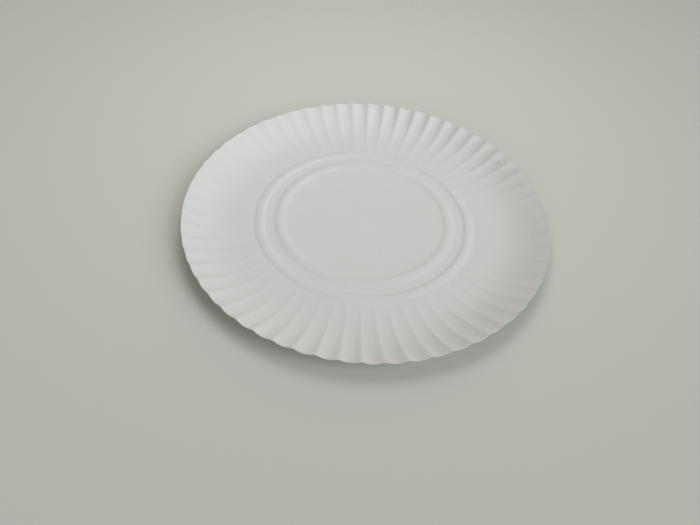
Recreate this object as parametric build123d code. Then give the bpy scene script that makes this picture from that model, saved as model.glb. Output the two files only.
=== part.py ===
from build123d import *
import os
from math import asin, cos, radians, sin, tan

# A shallow round plate, pressed from one sheet of paperboard. +Z is up, and the origin is
# the middle of the underside, where the floor meets the table. All sizes are in millimetres.
# From the middle outwards: a flat disc, a raised ring, a flat land, a second raised ring, a
# narrow land, and then a band of radial flutes that runs up the sloping rim to the cut edge.

# The sheet
PLATE_DIAMETER = 230.0       # over the cut edge, where the flutes reach furthest out
PAPER_THICKNESS = 0.4

# The floor: each band's width along the radius
DISC_RADIUS = 49.7           # flat middle, up to the foot of the inner ring
INNER_RING_RISE = 4.6        # foot to crest
INNER_RING_FALL = 4.7        # crest to outer foot
LAND_BETWEEN_RINGS = 4.2
OUTER_RING_RISE = 2.9
OUTER_RING_TOP = 1.1         # flat
OUTER_RING_FALL = 4.0
LAND_OUTSIDE_RINGS = 0.9     # flat, between the outer ring and the start of the flutes
FLAT_FLUTES = 10.9           # length of the flutes that still lies on the floor

# The rings are pressed up from below, so their underside is hollow. A ring's side is a
# hollow curve at its foot and a crown above it: the share is the hollow curve's
INNER_RING_HEIGHT = 0.9
OUTER_RING_HEIGHT = 0.78
INNER_FOOT_SHARE = 0.37
OUTER_FOOT_SHARE = 0.40

# The rim bends up along an arc, then runs straight
BEND_RADIUS = 50.0
WALL_ANGLE = 27.5            # degrees above the floor

# The flutes: rounded troughs that meet in sharp ridges
FLUTE_COUNT = 60
FLUTE_DEPTH = 1.3            # trough to ridge at the cut edge, square to the sheet
FLUTE_GROWTH = 2.0           # power by which the depth grows from nothing along the radius
TROUGH_AT_START = 4.0        # power of the trough's curve across: high is flat with narrow
TROUGH_AT_RIM = 2.0          # ridges, and 2 is a rounded trough

# How finely the fluted surface is described
STEPS_ALONG = 48
STEPS_ACROSS = 12

inner_crest = DISC_RADIUS + INNER_RING_RISE
inner_end = inner_crest + INNER_RING_FALL
outer_start = inner_end + LAND_BETWEEN_RINGS
outer_crest = outer_start + OUTER_RING_RISE
outer_shoulder = outer_crest + OUTER_RING_TOP
outer_end = outer_shoulder + OUTER_RING_FALL
flute_start = outer_end + LAND_OUTSIDE_RINGS
bend_start = flute_start + FLAT_FLUTES
half_flute = 180 / FLUTE_COUNT

# The cut edge leans out by the paper's thickness below the upper surface. A small plate's
# edge can still be on the arc, where it leans less than on the straight wall
edge_on_arc = (PLATE_DIAMETER / 2 * BEND_RADIUS + PAPER_THICKNESS * bend_start) / (
    BEND_RADIUS + PAPER_THICKNESS
)
edge_on_wall = PLATE_DIAMETER / 2 - PAPER_THICKNESS * sin(radians(WALL_ANGLE))
rim_radius = max(edge_on_arc, edge_on_wall)


def slope_at(radius):
    """Angle of the sheet above the floor at this radius, in radians, along a trough."""
    run = min(max(radius - bend_start, 0), BEND_RADIUS * sin(radians(WALL_ANGLE)))
    return asin(run / BEND_RADIUS)


def trough_height(radius):
    """Height of the upper surface along the middle of a trough."""
    angle = slope_at(radius)
    past_arc = max(radius - bend_start, 0) - BEND_RADIUS * sin(angle)
    return PAPER_THICKNESS + BEND_RADIUS * (1 - cos(angle)) + past_arc * tan(angle)


def flute_point(radius, across, below):
    """A point on one flute: across is -1 and 1 on its ridges, and 0 along its trough."""
    share = (radius - flute_start) / (rim_radius - flute_start)
    power = TROUGH_AT_START + (TROUGH_AT_RIM - TROUGH_AT_START) * share
    lift = FLUTE_DEPTH * share**FLUTE_GROWTH * abs(across) ** power - below
    angle = slope_at(radius)
    turn = radians(across * half_flute)
    out = radius - lift * sin(angle)
    up = trough_height(radius) + lift * cos(angle)
    return (out * cos(turn), out * sin(turn), up)


def flute_skin(below):
    """One flute's upper face, or its underside where below is the paper's thickness."""
    reach = rim_radius - flute_start
    rows = []
    for i in range(STEPS_ALONG + 1):
        radius = flute_start + reach * i / STEPS_ALONG
        rows.append(
            [flute_point(radius, 2 * j / STEPS_ACROSS - 1, below) for j in range(STEPS_ACROSS + 1)]
        )
    return Face.make_surface_from_array_of_points(rows, tol=0.001, min_deg=3, max_deg=5)


def all_round(shape):
    """Copies of one flute's face or edge, for every flute."""
    return [Rot(0, 0, 360 * i / FLUTE_COUNT) * shape for i in range(FLUTE_COUNT)]


def rim_faces():
    """Both skins of every flute, the cut edge between them, and the land inside them."""
    skins = [flute_skin(0), flute_skin(PAPER_THICKNESS)]
    starts = []
    ends = []
    for skin in skins:
        by_radius = skin.edges().sort_by(lambda edge: edge.center().X)
        starts.append(by_radius[0])
        ends.append(by_radius[-1])
    cut_edge = Face.make_surface_from_curves(*ends)
    lands = []
    for start in starts:
        inside = CenterArc((0, 0, start.center().Z), outer_end, 0, 360)
        lands.append(Face(Wire(all_round(start)), [Wire([inside])]))
    return lands + all_round(skins[0]) + all_round(skins[1]) + all_round(cut_edge)


def ring_side(foot, crest, foot_share):
    """A ring's side in section: two arcs, level at the foot and at the crest."""
    foot, crest = Vector(foot), Vector(crest)
    meeting = foot + (crest - foot) * foot_share
    inwards = Vector(foot.X - crest.X, 0)
    return [TangentArc(foot, meeting, tangent=-inwards), TangentArc(crest, meeting, tangent=inwards)]


def floor_line(height):
    """One surface of the floor in section, from the axis to the outer ring's outer foot."""
    inner_top = height + INNER_RING_HEIGHT
    outer_top = height + OUTER_RING_HEIGHT
    return [
        Line((0, height), (DISC_RADIUS, height)),
        *ring_side((DISC_RADIUS, height), (inner_crest, inner_top), INNER_FOOT_SHARE),
        *ring_side((inner_end, height), (inner_crest, inner_top), INNER_FOOT_SHARE),
        Line((inner_end, height), (outer_start, height)),
        *ring_side((outer_start, height), (outer_crest, outer_top), OUTER_FOOT_SHARE),
        Line((outer_crest, outer_top), (outer_shoulder, outer_top)),
        *ring_side((outer_end, height), (outer_shoulder, outer_top), OUTER_FOOT_SHARE),
    ]


def floor_faces():
    """The disc, the rings and the land between them, without a wall round the outside."""
    section = make_face(
        floor_line(0)
        + floor_line(PAPER_THICKNESS)
        + [
            Line((0, 0), (0, PAPER_THICKNESS)),
            Line((outer_end, 0), (outer_end, PAPER_THICKNESS)),
        ]
    )
    disc = revolve(Plane.XZ * section, Axis.Z)
    return [face for face in disc.faces() if face.geom_type != GeomType.CYLINDER]


os.makedirs("parts", exist_ok=True)
plate = Solid(Shell(floor_faces() + rim_faces()))
export_step(plate, "parts/plate.step")
print("plate volume", plate.volume, "valid", plate.is_valid)
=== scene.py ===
from math import asin, atan2, cos, floor, hypot, pi, radians, sin, sqrt, tan

import bmesh
import bpy
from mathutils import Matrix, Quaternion, Vector, noise


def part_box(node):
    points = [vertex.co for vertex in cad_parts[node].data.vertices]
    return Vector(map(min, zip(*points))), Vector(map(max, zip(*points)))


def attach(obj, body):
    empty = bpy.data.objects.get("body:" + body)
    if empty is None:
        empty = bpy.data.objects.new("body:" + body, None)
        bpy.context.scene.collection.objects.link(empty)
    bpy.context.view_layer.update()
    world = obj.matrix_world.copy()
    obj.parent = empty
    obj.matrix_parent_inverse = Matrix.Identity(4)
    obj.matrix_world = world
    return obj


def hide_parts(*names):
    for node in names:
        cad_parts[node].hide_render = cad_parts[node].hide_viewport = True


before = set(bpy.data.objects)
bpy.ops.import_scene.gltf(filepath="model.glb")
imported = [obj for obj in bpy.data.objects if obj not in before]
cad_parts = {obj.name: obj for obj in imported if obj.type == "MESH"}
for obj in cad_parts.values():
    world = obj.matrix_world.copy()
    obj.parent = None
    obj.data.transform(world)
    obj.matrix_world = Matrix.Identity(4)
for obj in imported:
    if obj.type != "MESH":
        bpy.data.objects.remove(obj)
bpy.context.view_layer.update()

# Metres throughout. The plate's outline comes from the frame, the rest from the plate's own
# section: from the middle outwards a disc, two raised rings with a land between them, and
# flutes that start on the floor and run up the sloping rim.
lowest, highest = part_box("plate")
PAPER = 0.0004
WALL_ANGLE = radians(27.5)
RIM_RADIUS = highest.x - PAPER * sin(WALL_ANGLE)
DISC_RADIUS = 0.0497
INNER_CREST = 0.0543
INNER_END = 0.0590
OUTER_START = 0.0632
OUTER_CREST = 0.0661
OUTER_SHOULDER = 0.0672
OUTER_END = 0.0712
FLUTE_START = 0.0721
BEND_START = 0.0830
BEND_RADIUS = 0.0500
INNER_HEIGHT = 0.00090
OUTER_HEIGHT = 0.00078
INNER_FOOT_SHARE = 0.37     # share of a ring's side that is the hollow curve at its foot
OUTER_FOOT_SHARE = 0.40
FLUTES = 60

# The flutes: fine folds on the floor, which widen into rounded troughs towards the cut edge.
# They are deeper round one side of the plate, and about half as deep on a short stretch.
FOLD_HEIGHT = 0.00015
FOLD_RUN = 0.002
FLUTE_DEPTH = 0.00113
FLUTE_GROWTH = 2.05
DEEPER = 0.8                # share by which they are deeper, most at this side
DEEPER_SIDE = radians(66)
DEEPER_FADE = 2.7           # power by which that fades away round the plate
SHALLOWER = 0.65
SHALLOWER_SIDE = radians(15)
SHALLOWER_FADE = 12
TROUGH_AT_START = 4.0       # power of the trough's curve across
TROUGH_AT_RIM = 2.0
RIDGE_AT_START = 0.15       # share of a flute's half width that its rounded ridge takes
RIDGE_AT_RIM = 0.28

# What the hand and the press left uneven
UNEVEN_RIDGES = 0.30        # share by which a ridge is higher or lower than its neighbours
UNEVENNESS = 7.3            # how fast that changes from ridge to ridge
INWARD = 0.5                # how far a ridge leans inwards, as a share of square to the sheet
INWARD_WHERE_DEEPER = 1.4
FLUTES_TURNED = radians(0.18)
FLUTES_SPREAD = radians(0.72)   # the flutes are spread a little on one side, closed on the other
SPREAD_SIDE = radians(155)
RIM_WAVE = 0.0003           # how far the cut edge wanders up and down
RIM_WAVINESS = 1.7
RIM_SHIFT = Vector((0.0011, -0.0005, 0))
RIM_LONG_WAY = 0.0009       # how far the rim is pushed out on its long way, and less across it
RIM_SHORT_WAY = -0.0005
LONG_WAY = radians(76)

# The mesh: rows along the radius, and steps round the plate
BANDS = [
    (DISC_RADIUS, 5), (INNER_CREST, 6), (INNER_END, 6), (OUTER_START, 1), (OUTER_CREST, 6),
    (OUTER_SHOULDER, 1), (OUTER_END, 5), (FLUTE_START, 1), (BEND_START, 6), (RIM_RADIUS, 18),
]
STEPS_PER_FLUTE = 14
HARD_EDGE = radians(50)     # edges that turn more than this aren't smoothed over


def ring_side(radius, foot, crest, height, foot_share):
    """Height on a ring's side: a hollow arc at the foot, then a crown arc up to the crest."""
    width = abs(crest - foot)
    run = abs(radius - foot)
    both = (width**2 + height**2) / (2 * height)
    if run <= width * foot_share:
        foot_arc = both * foot_share
        return foot_arc - sqrt(foot_arc**2 - run**2)
    crown_arc = both * (1 - foot_share)
    return height - crown_arc + sqrt(crown_arc**2 - (width - run) ** 2)


def floor_height(radius):
    """How far the rings raise the floor at this radius."""
    if DISC_RADIUS < radius <= INNER_CREST:
        return ring_side(radius, DISC_RADIUS, INNER_CREST, INNER_HEIGHT, INNER_FOOT_SHARE)
    if INNER_CREST < radius < INNER_END:
        return ring_side(radius, INNER_END, INNER_CREST, INNER_HEIGHT, INNER_FOOT_SHARE)
    if OUTER_START < radius <= OUTER_CREST:
        return ring_side(radius, OUTER_START, OUTER_CREST, OUTER_HEIGHT, OUTER_FOOT_SHARE)
    if OUTER_CREST < radius <= OUTER_SHOULDER:
        return OUTER_HEIGHT
    if OUTER_SHOULDER < radius < OUTER_END:
        return ring_side(radius, OUTER_END, OUTER_SHOULDER, OUTER_HEIGHT, OUTER_FOOT_SHARE)
    return 0.0


def slope_at(radius):
    """Angle of the sheet above the floor at this radius, in radians."""
    run = min(max(radius - BEND_START, 0), BEND_RADIUS * sin(WALL_ANGLE))
    return asin(run / BEND_RADIUS)


def sheet_height(radius):
    """Upper surface along the middle of a trough."""
    angle = slope_at(radius)
    past_arc = max(radius - BEND_START, 0) - BEND_RADIUS * sin(angle)
    rise = BEND_RADIUS * (1 - cos(angle)) + past_arc * tan(angle)
    return PAPER + floor_height(radius) + rise


def flute_shape(across, share):
    """0 in the trough and 1 on the ridge, which is rounded over."""
    power = TROUGH_AT_START + (TROUGH_AT_RIM - TROUGH_AT_START) * share
    ridge = RIDGE_AT_START + (RIDGE_AT_RIM - RIDGE_AT_START) * share
    shoulder = 1 - ridge
    steepness = 1 / (shoulder / power + ridge / 2)
    if across <= shoulder:
        return steepness / power * shoulder * (across / shoulder) ** power
    return 1 - steepness * (1 - across) ** 2 / (2 * ridge)


def deeper_here(turn):
    """Share by which the flutes are deeper at this turn."""
    return DEEPER * max(cos(turn - DEEPER_SIDE), 0) ** DEEPER_FADE


def flute_depth(turn):
    """Trough to ridge at the cut edge, for the ridge nearest to this turn."""
    ridge = floor(turn / (2 * pi) * FLUTES)
    middle = (ridge + 0.5) / FLUTES * 2 * pi
    shallower = SHALLOWER * max(cos(middle - SHALLOWER_SIDE), 0) ** SHALLOWER_FADE
    uneven = noise.noise(Vector((cos(middle), sin(middle), 0)) * UNEVENNESS)
    return FLUTE_DEPTH * (1 + deeper_here(middle) - shallower) * (1 + UNEVEN_RIDGES * uneven)


def flute_lift(share, turn):
    """Height of the fluted surface above its troughs, square to the sheet."""
    if share <= 0:
        return 0.0
    place = turn / (2 * pi) * FLUTES
    across = abs(2 * (place - round(place)))
    folds = min(share * (RIM_RADIUS - FLUTE_START) / FOLD_RUN, 1) * (1 - share)
    height = FOLD_HEIGHT * folds + flute_depth(turn) * share**FLUTE_GROWTH
    return height * flute_shape(across, share)


def shaped(point):
    """Where a point of the plain spun sheet goes when the flutes are pressed in."""
    radius = hypot(point.x, point.y)
    turn = atan2(point.y, point.x)
    share = max(radius - FLUTE_START, 0) / (RIM_RADIUS - FLUTE_START)
    lift = flute_lift(share, turn)
    angle = slope_at(radius)
    inward = INWARD + INWARD_WHERE_DEEPER * deeper_here(turn)
    out = radius - lift * sin(angle) * inward
    side = Vector((cos(turn), sin(turn), 0))
    moved = turn + FLUTES_TURNED + FLUTES_SPREAD * cos(turn - SPREAD_SIDE)
    wave = RIM_WAVE * share**2 * noise.noise(side * RIM_WAVINESS)
    up = point.z + lift * cos(angle) + wave
    oval = RIM_SHORT_WAY + (RIM_LONG_WAY - RIM_SHORT_WAY) * cos(turn - LONG_WAY) ** 2
    out += oval * share
    return Vector((out * cos(moved), out * sin(moved), up)) + RIM_SHIFT * share


def section_radii():
    """Radii of the mesh's rows, from the middle to the cut edge."""
    radii = [0.0]
    for end, rows in BANDS:
        start = radii[-1]
        radii += [start + (end - start) * (i + 1) / rows for i in range(rows)]
    return radii


def plate_sheet():
    """The sheet: its section spun round, the flutes pressed in, then given its thickness."""
    mesh = bmesh.new()
    line = [mesh.verts.new((radius, 0, sheet_height(radius))) for radius in section_radii()]
    edges = [mesh.edges.new(pair) for pair in zip(line, line[1:])]
    bmesh.ops.spin(
        mesh, geom=line + edges, cent=(0, 0, 0), axis=(0, 0, 1), angle=2 * pi,
        steps=FLUTES * STEPS_PER_FLUTE, use_merge=True,
    )
    bmesh.ops.remove_doubles(mesh, verts=mesh.verts, dist=PAPER / 100)
    for vert in mesh.verts:
        vert.co = shaped(vert.co)
    bmesh.ops.recalc_face_normals(mesh, faces=mesh.faces)
    if mesh.faces[0].normal.z < 0:
        bmesh.ops.reverse_faces(mesh, faces=mesh.faces)
    bmesh.ops.solidify(mesh, geom=mesh.faces[:], thickness=PAPER)
    bmesh.ops.recalc_face_normals(mesh, faces=mesh.faces)
    for face in mesh.faces:
        face.smooth = True
    for edge in mesh.edges:
        if len(edge.link_faces) == 2 and edge.calc_face_angle() > HARD_EDGE:
            edge.smooth = False
    data = bpy.data.meshes.new("plate_sheet")
    mesh.to_mesh(data)
    mesh.free()
    sheet = bpy.data.objects.new("plate_sheet", data)
    bpy.context.scene.collection.objects.link(sheet)
    return sheet


def link(tree, source, target, socket):
    """Joins one node's first output to another node's socket."""
    tree.links.new(source.outputs[0], target.inputs[socket])


def grain(tree, coords, scale, detail, stretch=(1, 1, 1), turn=0):
    """Noise across the sheet. The scale is in lumps to the metre."""
    mapping = tree.nodes.new("ShaderNodeMapping")
    mapping.inputs["Rotation"].default_value = (0, 0, radians(turn))
    mapping.inputs["Scale"].default_value = stretch
    tree.links.new(coords.outputs["Object"], mapping.inputs["Vector"])
    lumps = tree.nodes.new("ShaderNodeTexNoise")
    lumps.inputs["Scale"].default_value = scale
    lumps.inputs["Detail"].default_value = detail
    link(tree, mapping, lumps, "Vector")
    return lumps


def mark(tree, coords, place, turn, half_length, half_width):
    """1 in the middle of a small mark on the sheet, fading to 0 at its ends."""
    mapping = tree.nodes.new("ShaderNodeMapping")
    mapping.vector_type = "TEXTURE"
    mapping.inputs["Location"].default_value = place
    mapping.inputs["Rotation"].default_value = (0, 0, radians(turn))
    mapping.inputs["Scale"].default_value = (half_length, half_width, 0.02)
    tree.links.new(coords.outputs["Object"], mapping.inputs["Vector"])
    fade = tree.nodes.new("ShaderNodeTexGradient")
    fade.gradient_type = "SPHERICAL"
    link(tree, mapping, fade, "Vector")
    return fade


def weighted(tree, node, share, base=None):
    """A node's value times a share, added to another node's value when there is one."""
    maths = tree.nodes.new("ShaderNodeMath")
    maths.operation = "MULTIPLY_ADD"
    maths.inputs[1].default_value = share
    maths.inputs[2].default_value = 0
    link(tree, node, maths, 0)
    if base:
        link(tree, base, maths, 2)
    return maths


FIBRES = 420                # lumps to the metre
PULP = 1500
PATCHES = 60
SMUDGES = 14
# The dark end of the colours: the flecks' own colour, and the painted shade of the small fold on
# the rim.
FLECKED_AND_SHADED_PAPER = (0.16, 0.15, 0.13, 1)
DULL_PAPER = (0.66, 0.66, 0.652, 1)
CLEAN_PAPER = (0.73, 0.73, 0.728, 1)


def paperboard():
    """Matt white paper: fine fibres, faint mottling, a fleck or two, and one small dented fold
    whose shade is painted into the colour.
    """
    material = bpy.data.materials.new("white_paperboard")
    material.use_nodes = True
    tree = material.node_tree
    shader = tree.nodes["Principled BSDF"]
    coords = tree.nodes.new("ShaderNodeTexCoord")

    fibres = weighted(tree, grain(tree, coords, FIBRES, 3, (1, 5, 1), 25), 0.5)
    fibres = weighted(tree, grain(tree, coords, FIBRES, 3, (5, 1, 1), 55), 0.5, fibres)
    pulp = grain(tree, coords, PULP, 4)
    patches = grain(tree, coords, PATCHES, 3)
    smudges = grain(tree, coords, SMUDGES, 2)

    tone = weighted(tree, fibres, 0.22)
    tone = weighted(tree, pulp, 0.14, tone)
    tone = weighted(tree, patches, 0.34, tone)
    tone = weighted(tree, smudges, 0.30, tone)
    fleck = mark(tree, coords, (0.0119, -0.0294, 0), 20, 0.0008, 0.0006)
    tone = weighted(tree, fleck, -0.55, tone)
    small_fleck = mark(tree, coords, (-0.0090, 0.0260, 0), -30, 0.0007, 0.0004)
    tone = weighted(tree, small_fleck, -0.30, tone)
    # The small fold on the far rim: the bump below dents it in, and its darkening of the colour
    # is painted shade where the dent is shaded.
    crease_dent_and_painted_shade = mark(tree, coords, (0.0898, 0.0634, 0.0090), 45, 0.0064, 0.0007)
    tone = weighted(tree, crease_dent_and_painted_shade, -0.34, tone)
    colours = tree.nodes.new("ShaderNodeValToRGB")
    ramp = colours.color_ramp.elements
    ramp[0].position = 0
    ramp[0].color = FLECKED_AND_SHADED_PAPER
    ramp[1].position = 1
    ramp[1].color = CLEAN_PAPER
    dull = ramp.new(0.3)
    dull.color = DULL_PAPER
    link(tree, tone, colours, "Fac")
    link(tree, colours, shader, "Base Color")

    worn = tree.nodes.new("ShaderNodeMapRange")
    worn.inputs["To Min"].default_value = 0.78
    worn.inputs["To Max"].default_value = 0.94
    link(tree, patches, worn, "Value")
    link(tree, worn, shader, "Roughness")

    relief = weighted(tree, pulp, 0.4, fibres)
    relief = weighted(tree, crease_dent_and_painted_shade, -1.5, relief)
    bump = tree.nodes.new("ShaderNodeBump")
    bump.inputs["Strength"].default_value = 0.35
    bump.inputs["Distance"].default_value = 0.00005
    link(tree, relief, bump, "Height")
    link(tree, bump, shader, "Normal")
    return material


SUN_AWAY = 1.5
SUN_SOFTNESS = radians(35)


def floor_and_light():
    """A pale table, an even world, light from three sides and a lamp overhead."""
    bpy.ops.mesh.primitive_plane_add(size=6)
    table = bpy.context.object
    table.name = "table_top"
    material = bpy.data.materials.new("pale_table")
    material.use_nodes = True
    shader = material.node_tree.nodes["Principled BSDF"]
    shader.inputs["Base Color"].default_value = (0.62, 0.63, 0.58, 1)
    shader.inputs["Roughness"].default_value = 0.9
    table.data.materials.append(material)
    world = bpy.data.worlds.new("soft_room")
    world.use_nodes = True
    background = world.node_tree.nodes["Background"]
    background.inputs["Color"].default_value = (1.0, 0.96, 0.91, 1)
    background.inputs["Strength"].default_value = 0.25
    bpy.context.scene.world = world
    soft_sun("window", azimuth=-23, height=33, strength=1.27, colour=(0.93, 1, 1.04))
    soft_sun("far_wall", azimuth=80, height=20, strength=0.42, colour=(1.08, 1, 0.8))
    soft_sun("near_wall", azimuth=260, height=20, strength=0.55, colour=(0.95, 1, 0.88))
    overhead = lamp("AREA", "overhead", azimuth=97, height=72, away=0.46)
    overhead.energy = 0.68
    overhead.size = 0.3


def soft_sun(name, azimuth, height, strength, colour):
    """Wide, even light from one side, as a window or a pale wall gives."""
    sun = lamp("SUN", name, azimuth, height, away=SUN_AWAY)
    sun.energy = strength
    sun.color = colour
    sun.angle = SUN_SOFTNESS


def lamp(kind, name, azimuth, height, away):
    """A lamp that looks at the plate from so many degrees round and so many degrees up."""
    light = bpy.data.lights.new(name, kind)
    holder = bpy.data.objects.new(name, light)
    bpy.context.scene.collection.objects.link(holder)
    holder.location = spherical(radians(azimuth), radians(height), away)
    holder.rotation_euler = (-holder.location).to_track_quat("-Z", "Y").to_euler()
    return light


def spherical(azimuth, height, away):
    """A place so far from the middle, at these two angles in radians."""
    level = away * cos(height)
    return Vector((level * cos(azimuth), level * sin(azimuth), away * sin(height)))


LENS = 30.52                # millimetres, on a sensor 36 wide
EYE = (0.00317, -0.27922, 0.26399)
AIM = (-0.00567, -0.03926, 0)
EYE_ROLL = radians(4.30)


def camera():
    """Looks down on the plate from the near side, rolled a little."""
    lens = bpy.data.cameras.new("camera")
    lens.sensor_width = 36
    lens.lens = LENS
    eye = bpy.data.objects.new("camera", lens)
    bpy.context.scene.collection.objects.link(eye)
    eye.location = EYE
    looking = (Vector(AIM) - eye.location).to_track_quat("-Z", "Y")
    eye.rotation_euler = (looking @ Quaternion((0, 0, 1), EYE_ROLL)).to_euler()
    bpy.context.scene.camera = eye


bpy.context.scene.view_settings.view_transform = "Standard"
camera()
floor_and_light()
plate = plate_sheet()
plate.data.materials.append(paperboard())
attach(plate, "root")
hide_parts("plate")
